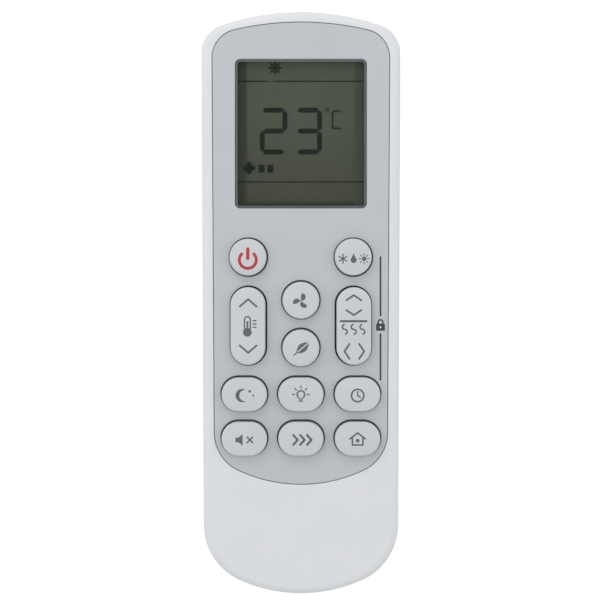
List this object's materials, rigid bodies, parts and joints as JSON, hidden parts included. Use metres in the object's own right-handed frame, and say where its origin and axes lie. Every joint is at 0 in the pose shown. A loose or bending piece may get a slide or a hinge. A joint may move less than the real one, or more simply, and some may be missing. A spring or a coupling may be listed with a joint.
{
  "type": "air conditioner remote control",
  "caption": "Hand-held remote control for a room air conditioner: two-shell case, inset face panel, liquid crystal window, press and rocker keys, sliding battery door.",
  "frame": {"origin": "under the middle of the case, on the flat of the back that the handset rests on", "axes": "+Y towards the display end, +Z out of the face, +X to the right of someone who reads the display"},
  "size_m": [0.053, 0.1539, 0.022],
  "materials": {
    "case_plastic": "satin moulded ABS, light grey-white",
    "panel_plastic": "fine satin silver-grey lacquer",
    "key_plastic": "soft matte, light grey",
    "clear_plastic": "clear acrylic, polished",
    "display_glass": "grey-green liquid crystal glass with its reflector",
    "holder_plastic": "plain moulded",
    "silicone": "matte silicone",
    "board_laminate": "phenolic laminate",
    "black_resin": "moulded black resin",
    "tinned_steel": "bright tinned",
    "cell_sleeve": "plain shrink sleeve, no print",
    "led_resin": "water-clear resin"
  },
  "bodies": {
    "handset": {"front_case": "case_plastic", "back_case": "case_plastic", "face_panel": "panel_plastic", "display_lens": "clear_plastic", "lcd_front_glass": "display_glass", "lcd_rear_glass": "display_glass", "lcd_holder": "holder_plastic", "zebra_strip": "silicone", "keypad_mat": "silicone", "circuit_board": "board_laminate", "controller_chip": "black_resin", "crystal": "tinned_steel", "capacitor": "black_resin", "transistor": "black_resin", "ir_led": "led_resin", "battery_left": "cell_sleeve", "battery_right": "cell_sleeve", "spring_link": "tinned_steel", "spring_negative": "tinned_steel", "link_plate": "tinned_steel", "positive_plate": "tinned_steel", "negative_plate": "tinned_steel", "case_screw_left": "tinned_steel", "case_screw_right": "tinned_steel", "board_screw_upper_left": "tinned_steel", "board_screw_upper_right": "tinned_steel", "board_screw_lower_left": "tinned_steel", "board_screw_lower_right": "tinned_steel"},
    "power_key": {"key_power": "key_plastic"},
    "mode_key": {"key_mode": "key_plastic"},
    "fan_key": {"key_fan": "key_plastic"},
    "eco_key": {"key_eco": "key_plastic"},
    "sleep_key": {"key_sleep": "key_plastic"},
    "display_key": {"key_display": "key_plastic"},
    "timer_key": {"key_timer": "key_plastic"},
    "mute_key": {"key_mute": "key_plastic"},
    "turbo_key": {"key_turbo": "key_plastic"},
    "room_sensor_key": {"key_room_sensor": "key_plastic"},
    "temp_rocker": {"key_temp": "key_plastic"},
    "swing_rocker": {"key_swing": "key_plastic"},
    "door": {"battery_door": "case_plastic"}
  },
  "joints": [
    {"name": "press_power", "type": "slide", "parent": "handset", "child": "power_key", "axis": [0, 0, -1], "range_m": [0, 0.0008], "stiffness_N_per_m": 1500},
    {"name": "press_mode", "type": "slide", "parent": "handset", "child": "mode_key", "axis": [0, 0, -1], "range_m": [0, 0.0008], "stiffness_N_per_m": 1500},
    {"name": "press_fan", "type": "slide", "parent": "handset", "child": "fan_key", "axis": [0, 0, -1], "range_m": [0, 0.0008], "stiffness_N_per_m": 1500},
    {"name": "press_eco", "type": "slide", "parent": "handset", "child": "eco_key", "axis": [0, 0, -1], "range_m": [0, 0.0008], "stiffness_N_per_m": 1500},
    {"name": "press_sleep", "type": "slide", "parent": "handset", "child": "sleep_key", "axis": [0, 0, -1], "range_m": [0, 0.0008], "stiffness_N_per_m": 1500},
    {"name": "press_display", "type": "slide", "parent": "handset", "child": "display_key", "axis": [0, 0, -1], "range_m": [0, 0.0008], "stiffness_N_per_m": 1500},
    {"name": "press_timer", "type": "slide", "parent": "handset", "child": "timer_key", "axis": [0, 0, -1], "range_m": [0, 0.0008], "stiffness_N_per_m": 1500},
    {"name": "press_mute", "type": "slide", "parent": "handset", "child": "mute_key", "axis": [0, 0, -1], "range_m": [0, 0.0008], "stiffness_N_per_m": 1500},
    {"name": "press_turbo", "type": "slide", "parent": "handset", "child": "turbo_key", "axis": [0, 0, -1], "range_m": [0, 0.0008], "stiffness_N_per_m": 1500},
    {"name": "press_room_sensor", "type": "slide", "parent": "handset", "child": "room_sensor_key", "axis": [0, 0, -1], "range_m": [0, 0.0008], "stiffness_N_per_m": 1500},
    {"name": "rock_temp", "type": "hinge", "parent": "handset", "child": "temp_rocker", "pos_m": [-0.0138, -0.006, 0.01665], "axis": [1, 0, 0], "range_deg": [-3.5, 3.5], "stiffness_Nm_per_rad": 0.15},
    {"name": "rock_swing", "type": "hinge", "parent": "handset", "child": "swing_rocker", "pos_m": [0.0138, -0.006, 0.01665], "axis": [1, 0, 0], "range_deg": [-3.5, 3.5], "stiffness_Nm_per_rad": 0.15},
    {"name": "door_slide", "type": "slide", "parent": "handset", "child": "door", "axis": [0, -1, 0], "range_m": [0, 0.06]}
  ]
}
